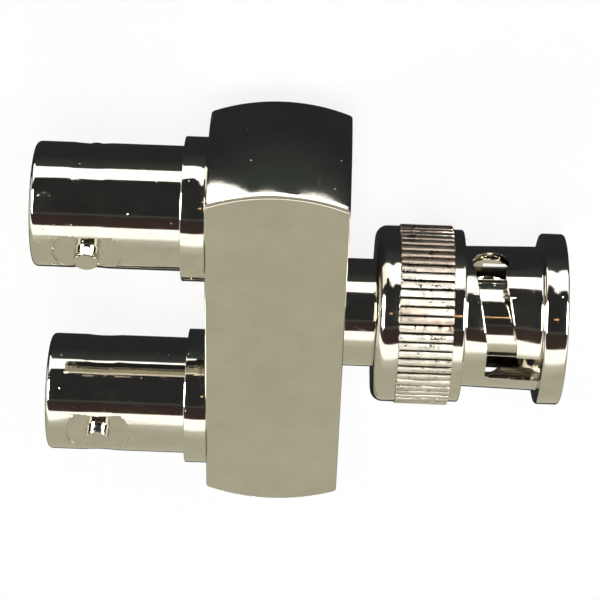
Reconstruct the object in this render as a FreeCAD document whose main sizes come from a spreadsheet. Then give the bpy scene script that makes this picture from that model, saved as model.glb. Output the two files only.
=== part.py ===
import FreeCAD, Part
import math
import os
import Sketcher

# Coaxial splitter: a domed square block with two bayonet jacks side by side on one face
# and one bayonet plug on the opposite face. It lies flat, with the studs and the slots up.
# X runs along the connector axes, towards the plug. Y runs from the lower jack to the upper
# jack. Z is up. The origin is on the plug's axis, where the centre pin leaves its insulator.

doc = FreeCAD.newDocument("coaxial_splitter")

# Driving sizes, in millimetres and degrees
SIZES = [
    # block
    ("block_width", 10.8, "block, across the two connector faces"),
    ("block_depth", 10.8, "block, from the lower to the upper flat"),
    ("block_height", 34.5, "block, between the crowns of its flat faces"),
    ("dome_radius", 13.3, "turned dome at each end"),
    ("block_edge", 0.28, "rounded long edges of the block"),
    ("cross_bore", 4.4, "bore along the block for the bus"),
    ("cross_bore_margin", 2.0, "bore beyond the last jack axis"),
    ("tail_bore", 3.0, "bores from the seats to the cross bore"),
    # jacks
    ("jack_spacing", 21.4, "between the two jack axes"),
    ("jack_diameter", 9.6, "jack barrel"),
    ("jack_reach", 11.35, "jack barrel in front of its flange"),
    ("jack_flange", 11.1, "jack flange diameter"),
    ("jack_flange_width", 1.85, "jack flange"),
    ("flange_edge", 0.2, "chamfer of the jack flange"),
    ("spigot_diameter", 8.8, "jack spigot pressed into the block"),
    ("spigot_length", 2.4, "jack spigot pressed into the block"),
    ("jack_bore", 8.1, "bore of the jack's outer contact"),
    ("jack_bore_depth", 8.5, "mouth to the floor of the jack"),
    ("jack_floor", 0.6, "thickness of the floor"),
    ("mouth_round", 0.4, "outer edge of the mouth"),
    ("mouth_lead", 0.25, "chamfer inside the mouth"),
    ("waist_width", 2.8, "shallow waist at the studs"),
    ("waist_radius", 13.0, "hollow of the waist"),
    ("stud_diameter", 1.95, "bayonet stud"),
    ("stud_span", 11.0, "over both studs"),
    ("stud_setback", 4.3, "mouth to the stud axis"),
    ("stud_seat_diameter", 5.2, "hollow-milled flat round each stud"),
    ("stud_seat_level", 4.45, "height of that flat above the jack axis"),
    ("upper_jack_turn", 8.5, "turn of the upper jack's studs"),
    ("lower_jack_turn", -3.0, "turn of the lower jack's studs"),
    ("nose_diameter", 4.72, "jack insulator inside the mouth"),
    ("nose_setback", 3.5, "mouth to the insulator"),
    ("jack_core", 7.0, "jack insulator behind the floor"),
    ("socket_diameter", 2.1, "centre contact of the jack"),
    ("socket_bore", 1.4, "bore of the centre contact"),
    ("socket_bore_depth", 4.5, "bore of the centre contact"),
    ("socket_recess", 0.2, "contact behind the insulator's front"),
    ("socket_length", 6.0, "thick part of the centre contact"),
    ("socket_slit", 0.25, "slit between the contact's two springs"),
    ("socket_slit_length", 3.4, "slit between the contact's two springs"),
    ("tail_diameter", 1.2, "tail of each centre contact"),
    # bus
    ("bus_diameter", 2.0, "bus that joins the three centre contacts"),
    ("bus_overhang", 1.2, "bus beyond the jack axes"),
    ("bus_hole_past", 0.3, "blind hole in the bus beyond its axis"),
    # plug
    ("plug_reach", 9.6, "block to the root of the centre pin"),
    ("neck_diameter", 8.6, "neck of the plug"),
    ("neck_show", 2.3, "neck between the block and the nut"),
    ("neck_press", 2.4, "neck pressed into the block"),
    ("plug_core", 5.0, "bore of the neck"),
    ("plug_flange_width", 1.0, "flange that stops the washers"),
    ("sleeve_diameter", 8.0, "outer contact of the plug"),
    ("sleeve_seat", 2.5, "outer contact seated in the body"),
    ("sleeve_reach", 9.1, "outer contact in front of the body"),
    ("sleeve_bulge", 0.06, "swell of the contact near its tip"),
    ("finger_slit", 0.35, "slit between the contact's fingers"),
    ("finger_length", 5.2, "length of the fingers"),
    ("core_diameter", 6.5, "insulator of the plug"),
    ("core_relief", 0.25, "insulator set back inside the fingers"),
    ("core_reach", 5.0, "root of the pin to the insulator's front"),
    ("core_mouth", 4.9, "bore of the insulator round the pin"),
    ("pin_diameter", 1.37, "centre pin"),
    ("pin_shank", 2.1, "pin inside its insulator"),
    ("pin_reach", 5.1, "root of the pin to its tip"),
    ("pin_taper", 0.55, "tapered tip of the pin"),
    ("pin_tip", 0.7, "flat end of the pin"),
    ("pin_collar", 2.4, "collar that holds the pin"),
    ("pin_collar_width", 0.8, "collar that holds the pin"),
    ("gasket_width", 0.8, "gasket in front of the plug's flange"),
    ("gasket_margin", 0.25, "gasket inside the nut"),
    ("washer_width", 0.45, "thrust washer behind the spring"),
    ("spring_sheet", 0.2, "sheet of the wave washer"),
    ("spring_height", 1.1, "free height of the wave washer"),
    ("spring_margin", 0.1, "wave washer to its walls"),
    # coupling nut
    ("nut_length", 15.0, "coupling nut"),
    ("nut_bore", 9.9, "bore of the nut"),
    ("nut_lip", 1.2, "rear wall of the nut"),
    ("nut_shoulder", 14.04, "smooth shoulder behind the knurl"),
    ("shoulder_width", 1.9, "smooth shoulder behind the knurl"),
    ("shoulder_round", 0.95, "rear edge of the nut"),
    ("knurl_diameter", 14.35, "over the knurl"),
    ("knurl_width", 4.2, "length of the knurl"),
    ("knurl_groove", 0.26, "width of a knurl groove"),
    ("knurl_depth", 0.17, "depth of a knurl groove"),
    ("knurl_teeth", 64, "teeth of the knurl"),
    ("collar_diameter", 13.74, "smooth collar in front of the knurl"),
    ("collar_width", 0.9, "smooth collar in front of the knurl"),
    ("barrel_rear", 11.2, "slotted barrel at the collar"),
    ("barrel_front", 11.5, "slotted barrel at the front flange"),
    ("front_flange", 13.63, "front flange of the nut"),
    ("front_flange_width", 1.9, "front flange of the nut"),
    ("nut_edge", 0.25, "chamfers of the nut"),
    ("entry_width", 2.45, "entry channel of a stud"),
    ("entry_depth", 6.15, "front of the nut to the end of the entry channel"),
    ("cam_width", 2.3, "cam slot"),
    ("cam_lead", 22.0, "turn of the level start of the cam slot"),
    ("cam_turn", 80.0, "entry channel to the end of the cam slot's slope"),
    ("cam_rise", 1.0, "how far the cam slot leads back"),
    ("detent_turn", 95.0, "entry channel to the detent"),
    ("detent_diameter", 2.8, "detent that holds a stud"),
    # clearances
    ("seat_gap", 0.01, "radial gap of pieces pressed together"),
    ("running_gap", 0.05, "radial gap of pieces that run in each other"),
    ("face_gap", 0.02, "axial gap between running faces"),
    ("stud_gap", 0.12, "a stud's end to its channel"),
]

# Places that follow from the driving sizes
PLACES = [
    ("plug_face", "-sizes.plug_reach"),
    ("jack_face", "plug_face - sizes.block_width"),
    ("block_middle", "plug_face - sizes.block_width / 2"),
    ("dome_centre", "sizes.block_height / 2 - sqrt(sizes.dome_radius ^ 2 - (sizes.block_width / 2) ^ 2)"),
    ("dome_apex", "dome_centre + sizes.dome_radius"),
    ("corner_radius", "sqrt(sizes.block_width ^ 2 + sizes.block_depth ^ 2) / 2 + sizes.block_edge"),
    ("corner_level", "dome_centre + sqrt(sizes.dome_radius ^ 2 - corner_radius ^ 2)"),
    ("jack_row", "sizes.jack_spacing / 2"),
    ("cross_end", "jack_row + sizes.cross_bore_margin"),
    ("plug_rim", "dome_centre + sqrt(sizes.dome_radius ^ 2 - (sizes.cross_bore / 2 - sizes.seat_gap) ^ 2)"),
    ("jack_flange_front", "jack_face - sizes.jack_flange_width"),
    ("jack_mouth", "jack_flange_front - sizes.jack_reach"),
    ("jack_floor_front", "jack_mouth + sizes.jack_bore_depth"),
    ("jack_floor_back", "jack_floor_front + sizes.jack_floor"),
    ("spigot_end", "jack_face + sizes.spigot_length"),
    ("stud_line", "jack_mouth + sizes.stud_setback"),
    ("nose_front", "jack_mouth + sizes.nose_setback"),
    ("socket_front", "nose_front + sizes.socket_recess"),
    ("socket_back", "socket_front + sizes.socket_length"),
    ("bus_jack_side", "block_middle - sizes.bus_diameter / 2 - sizes.running_gap"),
    ("bus_plug_side", "block_middle + sizes.bus_diameter / 2 + sizes.running_gap"),
    ("neck_end", "plug_face - sizes.neck_press"),
    ("nut_back", "plug_face + sizes.neck_show"),
    ("lip_front", "nut_back + sizes.nut_lip"),
    ("washer_back", "lip_front + sizes.face_gap"),
    ("washer_front", "washer_back + sizes.washer_width"),
    ("plug_flange_back", "washer_front + sizes.spring_height + 2 * sizes.face_gap"),
    ("plug_flange_front", "plug_flange_back + sizes.plug_flange_width"),
    ("plug_flange_radius", "sizes.nut_bore / 2 - sizes.running_gap"),
    ("gasket_front", "plug_flange_front + sizes.gasket_width"),
    ("sleeve_back", "plug_flange_front - sizes.sleeve_seat"),
    ("sleeve_front", "plug_flange_front + sizes.sleeve_reach"),
    ("finger_root", "sleeve_front - sizes.finger_length"),
    ("nut_front", "nut_back + sizes.nut_length"),
    ("knurl_back", "nut_back + sizes.shoulder_width"),
    ("knurl_front", "knurl_back + sizes.knurl_width"),
    ("collar_front", "knurl_front + sizes.collar_width"),
    ("front_flange_back", "nut_front - sizes.front_flange_width"),
    ("entry_end", "nut_front - sizes.entry_depth"),
    ("cam_start", "entry_end + sizes.cam_width / 2"),
    ("cam_line", "cam_start - sizes.cam_rise"),
    ("channel_radius", "sizes.stud_span / 2 + sizes.stud_gap"),
]


def fill_sheet(sheet, rows):
    for row, (alias, content, note) in enumerate(rows, 1):
        sheet.set(f"A{row}", note)
        sheet.set(f"B{row}", content)
        sheet.setAlias(f"B{row}", alias)
        doc.recompute()


sizes = doc.addObject("Spreadsheet::Sheet", "sizes")
fill_sheet(sizes, [(alias, str(value), note) for alias, value, note in SIZES])
places = doc.addObject("Spreadsheet::Sheet", "places")
fill_sheet(places, [(alias, "=" + formula, alias.replace("_", " ")) for alias, formula in PLACES])

X_AXIS = FreeCAD.Vector(1, 0, 0)
Y_AXIS = FreeCAD.Vector(0, 1, 0)
Z_AXIS = FreeCAD.Vector(0, 0, 1)
ALONG_X = FreeCAD.Rotation(Z_AXIS, X_AXIS)
ALONG_Y = FreeCAD.Rotation(Z_AXIS, Y_AXIS)
JACKS = (("upper_jack", "places.jack_row"), ("lower_jack", "-places.jack_row"))


def value(formula):
    return float(sizes.evalExpression(formula))


def origin_feature(body, role):
    for feature in body.Origin.OriginFeatures:
        if feature.Role == role:
            return feature
    raise ValueError(role)


def add_sketch(body, name, role, offset=None):
    """A sketch on one of the body's own planes, moved along its normal by a formula."""
    sketch = body.newObject("Sketcher::SketchObject", name)
    sketch.AttachmentSupport = [(origin_feature(body, role), "")]
    sketch.MapMode = "FlatFace"
    if offset:
        sketch.setExpression("AttachmentOffset.Base.z", offset)
    return sketch


def pin_down(sketch, edge, end, point):
    """Hold one end of an edge at a point given by two formulas, from the sketch's own axes."""
    for kind, axis, formula in (("DistanceX", -2, point[0]), ("DistanceY", -1, point[1])):
        if formula == "0":
            sketch.addConstraint(Sketcher.Constraint("PointOnObject", edge, end, axis))
            continue
        number = sketch.addConstraint(Sketcher.Constraint(kind, -1, 1, edge, end, value(formula)))
        sketch.setExpression(f"Constraints[{number}]", formula)


def draw_outline(sketch, points):
    """A closed outline. A point is (x, y), or (x, y, radius, side) where an arc leads to it:
    side 1 bulges to the left of the way from the last point, side -1 to the right."""
    spots = [FreeCAD.Vector(value(point[0]), value(point[1]), 0) for point in points]
    ends = []
    for index, point in enumerate(points):
        first, last = spots[index - 1], spots[index]
        if len(point) == 2:
            edge = sketch.addGeometry(Part.LineSegment(first, last), False)
            ends.append((edge, 1, 2))
            continue
        chord = last - first
        radius = value(point[2])
        sagitta = radius - math.sqrt(radius ** 2 - chord.Length ** 2 / 4)
        left = FreeCAD.Vector(-chord.y, chord.x, 0).normalize()
        middle = (first + last) / 2 + left * sagitta * point[3]
        edge = sketch.addGeometry(Part.Arc(first, middle, last), False)
        starts_first = sketch.getPoint(edge, 1).isEqual(first, 1e-6)
        ends.append((edge, 1, 2) if starts_first else (edge, 2, 1))
        number = sketch.addConstraint(Sketcher.Constraint("Radius", edge, radius))
        sketch.setExpression(f"Constraints[{number}]", point[2])
    for index, point in enumerate(points):
        edge, start, end = ends[index]
        last_edge, last_start, last_end = ends[index - 1]
        sketch.addConstraint(Sketcher.Constraint("Coincident", last_edge, last_end, edge, start))
        pin_down(sketch, edge, end, point)


def draw_circle(sketch, diameter, centre=("0", "0")):
    spot = FreeCAD.Vector(value(centre[0]), value(centre[1]), 0)
    edge = sketch.addGeometry(Part.Circle(spot, Z_AXIS, value(diameter) / 2), False)
    pin_down(sketch, edge, 3, centre)
    number = sketch.addConstraint(Sketcher.Constraint("Diameter", edge, value(diameter)))
    sketch.setExpression(f"Constraints[{number}]", diameter)


def draw_box(sketch, low_x, high_x, low_y, high_y):
    draw_outline(sketch, [(low_x, low_y), (high_x, low_y), (high_x, high_y), (low_x, high_y)])


def rounded(x, radius, size, steps):
    """Points of a rounded corner that faces back, from its rear face to its barrel."""
    points = []
    for step in range(steps + 1):
        turn = math.pi / 2 * step / steps
        back = f"{x} + {size} * {1 - math.sin(turn):.6f}"
        inset = f"{radius} - {size} * {1 - math.cos(turn):.6f}"
        points.insert(0, (back, inset))
    return points


def new_body(label):
    body = doc.addObject("PartDesign::Body", label)
    body.Label = label
    return body


def turned(label, outline):
    """A body turned about its own X axis from an outline of (x, radius) points."""
    body = new_body(label)
    sketch = add_sketch(body, label + "_profile", "XY_Plane")
    draw_outline(sketch, outline)
    turn = body.newObject("PartDesign::Revolution", label + "_turn")
    turn.Profile = sketch
    turn.ReferenceAxis = (sketch, ["H_Axis"])
    turn.Angle = 360
    body.Tip = turn
    doc.recompute()
    return body


def pocket(body, name, sketch, length, both_sides=False, forward=False):
    """A pocket as deep as a formula. forward cuts along the sketch's normal."""
    cut = body.newObject("PartDesign::Pocket", name)
    cut.Profile = sketch
    cut.setExpression("Length", length)
    if both_sides:
        cut.SideType = "Symmetric"
    cut.Reversed = forward
    body.Tip = cut
    doc.recompute()
    return cut


def polar_pattern(body, name, feature, count, angle=360):
    pattern = body.newObject("PartDesign::PolarPattern", name)
    pattern.Originals = [feature]
    pattern.Axis = (origin_feature(body, "X_Axis"), [""])
    pattern.Angle = angle
    if isinstance(count, str):
        pattern.setExpression("Occurrences", count)
    else:
        pattern.Occurrences = count
    body.Tip = pattern
    doc.recompute()
    return pattern


def rod(name, diameter, length, base, direction):
    """A cylinder whose size and start are formulas."""
    cylinder = doc.addObject("Part::Cylinder", name)
    cylinder.Placement.Rotation = direction
    cylinder.setExpression("Radius", f"({diameter}) / 2")
    cylinder.setExpression("Height", length)
    for letter, formula in zip("xyz", base):
        cylinder.setExpression(f"Placement.Base.{letter}", formula)
    return cylinder


def cut_from(label, base, tools):
    fused = doc.addObject("Part::MultiFuse", label + "_tools")
    fused.Shapes = tools
    result = doc.addObject("Part::Cut", label)
    result.Label = label
    result.Base = base
    result.Tool = fused
    doc.recompute()
    return result


def make_block():
    """A square bar with both ends turned to a dome, its seats and its cross bore."""
    bar = new_body("block_bar")
    square = add_sketch(bar, "bar_square", "XZ_Plane")
    half = "sizes.block_depth / 2"
    draw_box(square, "places.jack_face", "places.plug_face", f"-{half}", half)
    pad = bar.newObject("PartDesign::Pad", "bar_pad")
    pad.Profile = square
    pad.setExpression("Length", "2 * places.dome_apex")
    pad.SideType = "Symmetric"
    ends = add_sketch(bar, "dome_outline", "XY_Plane")
    axis = "places.block_middle"
    corner = f"{axis} + places.corner_radius"
    for sign, side in (("", 1), ("-", -1)):
        apex = f"{sign}places.dome_apex"
        level = f"{sign}places.corner_level"
        over = f"{sign}(places.dome_apex + sizes.block_edge)"
        draw_outline(ends, [
            (axis, over),
            (axis, apex),
            (corner, level, "sizes.dome_radius", side),
            (corner, over),
        ])
    foot = FreeCAD.Vector(value(axis), 0, 0)
    line = ends.addGeometry(Part.LineSegment(foot, foot + Y_AXIS), True)
    pin_down(ends, line, 1, (axis, "0"))
    ends.addConstraint(Sketcher.Constraint("Vertical", line))
    ends.addConstraint(Sketcher.Constraint("DistanceY", line, 1, line, 2, 1))
    domes = bar.newObject("PartDesign::Groove", "dome_turn")
    domes.Profile = ends
    domes.ReferenceAxis = (ends, ["Axis0"])
    domes.Angle = 360
    bar.Tip = domes
    doc.recompute()
    outer = []
    for number, edge in enumerate(domes.Shape.Edges, 1):
        middle = edge.valueAt((edge.FirstParameter + edge.LastParameter) / 2)
        on_side = abs(abs(middle.x - value(axis)) - value("sizes.block_width / 2")) < 1e-4
        on_flat = abs(abs(middle.z) - value("sizes.block_depth / 2")) < 1e-4
        if on_side and on_flat:
            outer.append(f"Edge{number}")
    rounds = bar.newObject("PartDesign::Fillet", "block_rounds")
    rounds.Base = (domes, outer)
    rounds.setExpression("Radius", "sizes.block_edge")
    bar.Tip = rounds
    doc.recompute()
    tools = [
        rod("cross_bore", "sizes.cross_bore", "places.cross_end + places.dome_apex",
            ("places.block_middle", "-places.dome_apex", "0"), ALONG_Y),
        rod("plug_seat", "sizes.neck_diameter + 2 * sizes.seat_gap", "sizes.neck_press",
            ("places.neck_end", "0", "0"), ALONG_X),
        rod("plug_tail_bore", "sizes.tail_bore", "sizes.block_width / 2",
            ("places.block_middle", "0", "0"), ALONG_X),
    ]
    for name, row in JACKS:
        tools.append(rod(name + "_seat", "sizes.spigot_diameter + 2 * sizes.seat_gap", "sizes.spigot_length",
                         ("places.jack_face", row, "0"), ALONG_X))
        tools.append(rod(name + "_tail_bore", "sizes.tail_bore", "sizes.block_width / 2",
                         ("places.jack_face", row, "0"), ALONG_X))
    return cut_from("body_block", bar, tools)


def make_cross_plug():
    """The pressed plug that closes the cross bore, flush with the lower dome."""
    radius = "sizes.cross_bore / 2 - sizes.seat_gap"
    body = turned("cross_bore_plug", [
        ("places.cross_end", "0"),
        ("places.cross_end", radius),
        ("places.plug_rim", radius),
        ("places.dome_apex", "0", "sizes.dome_radius", 1),
    ])
    body.Placement.Rotation = FreeCAD.Rotation(X_AXIS, -Y_AXIS)
    body.setExpression("Placement.Base.x", "places.block_middle")
    return body


def make_bus():
    """The bus along the cross bore, its insulator, and the holes for the three tails."""
    reach = "places.jack_row + sizes.bus_overhang"
    tail = "sizes.tail_diameter + 2 * sizes.seat_gap"
    depth = "sizes.bus_diameter / 2 + sizes.bus_hole_past"
    bar = rod("bus_rod", "sizes.bus_diameter", f"2 * ({reach})",
              ("places.block_middle", f"-({reach})", "0"), ALONG_Y)
    past = "places.block_middle - sizes.bus_hole_past"
    holes = [rod("bus_hole_plug", tail, depth, (past, "0", "0"), ALONG_X)]
    sleeve = rod("bus_sleeve", "sizes.cross_bore - 2 * sizes.seat_gap", "2 * places.cross_end",
                 ("places.block_middle", "-places.cross_end", "0"), ALONG_Y)
    openings = [
        rod("sleeve_bore", "sizes.bus_diameter + 2 * sizes.running_gap",
            f"2 * ({reach} + sizes.running_gap)",
            ("places.block_middle", f"-({reach} + sizes.running_gap)", "0"), ALONG_Y),
        rod("sleeve_hole_plug", "sizes.tail_bore", "sizes.cross_bore",
            ("places.block_middle", "0", "0"), ALONG_X),
    ]
    for name, row in JACKS:
        start = "places.block_middle - sizes.bus_diameter / 2"
        holes.append(rod("bus_hole_" + name, tail, depth, (start, row, "0"), ALONG_X))
        openings.append(rod("sleeve_hole_" + name, "sizes.tail_bore", "sizes.cross_bore",
                            ("places.block_middle - sizes.cross_bore", row, "0"), ALONG_X))
    cut_from("centre_bus", bar, holes)
    cut_from("bus_insulator", sleeve, openings)


def set_jack(body, name, row):
    """Move a piece of a jack from the X axis to its place in the block."""
    body.Placement = FreeCAD.Placement(FreeCAD.Vector(0, 0, 0), FreeCAD.Rotation(X_AXIS, 1))
    body.setExpression("Placement.Base.y", row)
    body.setExpression("Placement.Rotation.Angle", f"sizes.{name}_turn")
    return body


def make_jack_shell(name, row):
    """Outer contact of a jack: spigot, flange, waisted barrel, two studs on milled flats."""
    radius = "sizes.jack_diameter / 2"
    body = turned(name + "_shell", [
        ("places.spigot_end", "0"),
        ("places.jack_mouth", "0"),
        *rounded("places.jack_mouth", radius, "sizes.mouth_round", 2),
        ("places.stud_line - sizes.waist_width / 2", radius),
        ("places.stud_line + sizes.waist_width / 2", radius, "sizes.waist_radius", -1),
        ("places.jack_flange_front", radius),
        ("places.jack_flange_front", "sizes.jack_flange / 2 - sizes.flange_edge"),
        ("places.jack_flange_front + sizes.flange_edge", "sizes.jack_flange / 2"),
        ("places.jack_face", "sizes.jack_flange / 2"),
        ("places.jack_face", "sizes.spigot_diameter / 2"),
        ("places.spigot_end", "sizes.spigot_diameter / 2"),
    ])
    for side, sign, forward in (("front", "", True), ("back", "-", False)):
        ring = add_sketch(body, f"{name}_{side}_ring", "XY_Plane", f"{sign}sizes.stud_seat_level")
        draw_circle(ring, "sizes.stud_seat_diameter", ("places.stud_line", "0"))
        pocket(body, f"{name}_{side}_milling", ring, "sizes.stud_span / 2", forward=forward)
    stud = add_sketch(body, name + "_stud_circle", "XY_Plane")
    draw_circle(stud, "sizes.stud_diameter", ("places.stud_line", "0"))
    studs = body.newObject("PartDesign::Pad", name + "_studs")
    studs.Profile = stud
    studs.setExpression("Length", "sizes.stud_span")
    studs.SideType = "Symmetric"
    body.Tip = studs
    doc.recompute()
    hollow = add_sketch(body, name + "_hollow", "XY_Plane")
    bore = "sizes.jack_bore / 2"
    hole = "sizes.nose_diameter / 2 + sizes.seat_gap"
    core = "sizes.jack_core / 2 + sizes.seat_gap"
    draw_outline(hollow, [
        ("places.jack_mouth", "0"),
        ("places.jack_mouth", f"{bore} + sizes.mouth_lead"),
        ("places.jack_mouth + sizes.mouth_lead", bore),
        ("places.jack_floor_front", bore),
        ("places.jack_floor_front", hole),
        ("places.jack_floor_back", hole),
        ("places.jack_floor_back", core),
        ("places.spigot_end", core),
        ("places.spigot_end", "0"),
    ])
    groove = body.newObject("PartDesign::Groove", name + "_hollowing")
    groove.Profile = hollow
    groove.ReferenceAxis = (hollow, ["H_Axis"])
    groove.Angle = 360
    body.Tip = groove
    doc.recompute()
    return set_jack(body, name, row)


def make_jack_insides(name, row):
    """Insulator, slit centre contact and rear insulator of a jack."""
    thick = "sizes.socket_diameter / 2"
    tail = "sizes.tail_diameter / 2"
    insulator = turned(name + "_insulator", [
        ("places.nose_front", f"{thick} + sizes.seat_gap"),
        ("places.nose_front", "sizes.nose_diameter / 2"),
        ("places.jack_floor_back", "sizes.nose_diameter / 2"),
        ("places.jack_floor_back", "sizes.jack_core / 2"),
        ("places.spigot_end", "sizes.jack_core / 2"),
        ("places.spigot_end", f"{tail} + sizes.seat_gap"),
        ("places.socket_back", f"{tail} + sizes.seat_gap"),
        ("places.socket_back", f"{thick} + sizes.seat_gap"),
    ])
    set_jack(insulator, name, row)
    bore = "sizes.socket_bore / 2"
    lead = "(sizes.socket_diameter - sizes.socket_bore) / 5"
    contact = turned(name + "_contact", [
        ("places.socket_front", f"{bore} + {lead}"),
        ("places.socket_front", f"{thick} - {lead}"),
        (f"places.socket_front + {lead}", thick),
        ("places.socket_back", thick),
        ("places.socket_back", tail),
        ("places.block_middle", tail),
        ("places.block_middle", "0"),
        ("places.socket_front + sizes.socket_bore_depth", "0"),
        ("places.socket_front + sizes.socket_bore_depth", bore),
        (f"places.socket_front + {lead}", bore),
    ])
    slit = add_sketch(contact, name + "_slit_box", "XY_Plane")
    draw_box(slit, "places.socket_front", "places.socket_front + sizes.socket_slit_length",
             "-sizes.socket_slit / 2", "sizes.socket_slit / 2")
    pocket(contact, name + "_slit", slit, "2 * sizes.socket_diameter", both_sides=True)
    set_jack(contact, name, row)
    rear = turned(name + "_rear_insulator", [
        ("places.spigot_end", f"{tail} + sizes.seat_gap"),
        ("places.spigot_end", "sizes.tail_bore / 2 - sizes.seat_gap"),
        ("places.bus_jack_side", "sizes.tail_bore / 2 - sizes.seat_gap"),
        ("places.bus_jack_side", f"{tail} + sizes.seat_gap"),
    ])
    set_jack(rear, name, row)


def make_plug():
    """Neck, outer contact with four fingers, insulators, centre pin and gasket of the plug."""
    neck = "sizes.neck_diameter / 2"
    seat = "sizes.sleeve_diameter / 2 + sizes.seat_gap"
    core = "sizes.plug_core / 2"
    turned("plug_body", [
        ("places.neck_end", core),
        ("places.neck_end", neck),
        ("places.plug_flange_back", neck),
        ("places.plug_flange_back", "places.plug_flange_radius"),
        ("places.plug_flange_front", "places.plug_flange_radius"),
        ("places.plug_flange_front", seat),
        ("places.sleeve_back", seat),
        ("places.sleeve_back", core),
    ])
    outside = "sizes.sleeve_diameter / 2"
    inside = "sizes.core_diameter / 2 + sizes.seat_gap"
    sleeve = turned("plug_outer_contact", [
        ("places.sleeve_back", inside),
        ("places.sleeve_back", outside),
        ("places.finger_root", outside),
        ("places.sleeve_front - sizes.finger_length / 4", f"{outside} + sizes.sleeve_bulge"),
        ("places.sleeve_front - sizes.core_relief", f"{outside} - sizes.sleeve_bulge"),
        ("places.sleeve_front", f"{outside} - sizes.core_relief"),
        ("places.sleeve_front", inside),
    ])
    slit = add_sketch(sleeve, "finger_slit_box", "XY_Plane")
    draw_box(slit, "places.finger_root", "places.sleeve_front + sizes.finger_slit",
             "-sizes.finger_slit / 2", "sizes.finger_slit / 2")
    slits = pocket(sleeve, "finger_slits", slit, "2 * sizes.sleeve_diameter", both_sides=True)
    polar_pattern(sleeve, "finger_pattern", slits, 2, 90)
    pin = "sizes.pin_diameter / 2"
    shank = "sizes.pin_shank / 2"
    hole = f"{shank} + sizes.seat_gap"
    turned("plug_insulator", [
        ("places.sleeve_back", hole),
        ("places.sleeve_back", "sizes.core_diameter / 2"),
        ("places.finger_root", "sizes.core_diameter / 2"),
        ("places.finger_root", "sizes.core_diameter / 2 - sizes.core_relief"),
        ("sizes.core_reach", "sizes.core_diameter / 2 - sizes.core_relief"),
        ("sizes.core_reach", "sizes.core_mouth / 2"),
        ("0", "sizes.core_mouth / 2"),
        ("0", hole),
    ])
    tail = "sizes.tail_diameter / 2"
    collar = "sizes.pin_collar / 2"
    collar_back = "places.sleeve_back - sizes.pin_collar_width"
    turned("plug_pin", [
        ("places.block_middle", "0"),
        ("places.block_middle", tail),
        (collar_back, tail),
        (collar_back, collar),
        ("places.sleeve_back", collar),
        ("places.sleeve_back", shank),
        ("0", shank),
        ("0", pin),
        ("sizes.pin_reach - sizes.pin_taper", pin),
        ("sizes.pin_reach", "sizes.pin_tip / 2"),
        ("sizes.pin_reach", "0"),
    ])
    turned("plug_rear_insulator", [
        ("places.bus_plug_side", f"{tail} + sizes.seat_gap"),
        ("places.bus_plug_side", "sizes.tail_bore / 2 - sizes.seat_gap"),
        ("places.neck_end", "sizes.tail_bore / 2 - sizes.seat_gap"),
        ("places.neck_end", f"{core} - sizes.seat_gap"),
        ("places.sleeve_back", f"{core} - sizes.seat_gap"),
        ("places.sleeve_back", f"{collar} + sizes.seat_gap"),
        (collar_back, f"{collar} + sizes.seat_gap"),
        (collar_back, f"{tail} + sizes.seat_gap"),
    ])
    turned("plug_gasket", [
        ("places.plug_flange_front", f"{outside} + sizes.seat_gap"),
        ("places.plug_flange_front", "sizes.nut_bore / 2 - sizes.gasket_margin"),
        ("places.gasket_front", "sizes.nut_bore / 2 - sizes.gasket_margin"),
        ("places.gasket_front", f"{outside} + sizes.seat_gap"),
    ])


def make_washers():
    """The thrust washer behind the nut's lip and the wave washer that springs the nut back."""
    turned("thrust_washer", [
        ("places.washer_back", "sizes.neck_diameter / 2 + sizes.running_gap"),
        ("places.washer_back", "sizes.nut_bore / 2 - sizes.running_gap"),
        ("places.washer_front", "sizes.nut_bore / 2 - sizes.running_gap"),
        ("places.washer_front", "sizes.neck_diameter / 2 + sizes.running_gap"),
    ])
    waves = 3
    steps = 48
    swing = (sizes.spring_height - sizes.spring_sheet) / 2
    middle = places.washer_front + sizes.face_gap + swing
    edges = []
    for radius in (sizes.neck_diameter / 2 + sizes.spring_margin, sizes.nut_bore / 2 - sizes.spring_margin):
        points = []
        for step in range(steps):
            turn = 2 * math.pi * step / steps
            points.append(FreeCAD.Vector(
                middle + swing * math.cos(waves * turn),
                radius * math.cos(turn),
                radius * math.sin(turn),
            ))
        curve = Part.BSplineCurve()
        curve.interpolate(points, PeriodicFlag=True)
        edges.append(curve.toShape())
    sheet = Part.makeRuledSurface(edges[0], edges[1])
    washer = doc.addObject("Part::Feature", "wave_washer")
    washer.Label = "wave_washer"
    washer.Shape = sheet.extrude(X_AXIS * sizes.spring_sheet)
    return washer


def cam_slot_cutter():
    """Tool for one cam slot: level at the entry, sloping back, then level up to the detent."""
    inner = sizes.sleeve_diameter / 2
    outer = sizes.nut_bore / 2 + sizes.nut_lip
    half = sizes.cam_width / 2
    steps = 8

    def section(turn, line):
        corners = []
        for radius, shift in ((inner, -half), (outer, -half), (outer, half), (inner, half)):
            corners.append(FreeCAD.Vector(line + shift, radius * math.sin(turn), radius * math.cos(turn)))
        return Part.makePolygon(corners + corners[:1])

    def stretch(start, end, start_line, end_line):
        sections = []
        for step in range(steps + 1):
            share = step / steps
            turn = math.radians(start + (end - start) * share)
            sections.append(section(turn, start_line + (end_line - start_line) * share))
        return Part.makeLoft(sections, True, False)

    entry = stretch(0, sizes.cam_lead, places.cam_start, places.cam_start)
    slope = stretch(sizes.cam_lead, sizes.cam_turn, places.cam_start, places.cam_line)
    level = stretch(sizes.cam_turn, sizes.detent_turn, places.cam_line, places.cam_line)
    return entry.fuse(slope).fuse(level)


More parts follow.
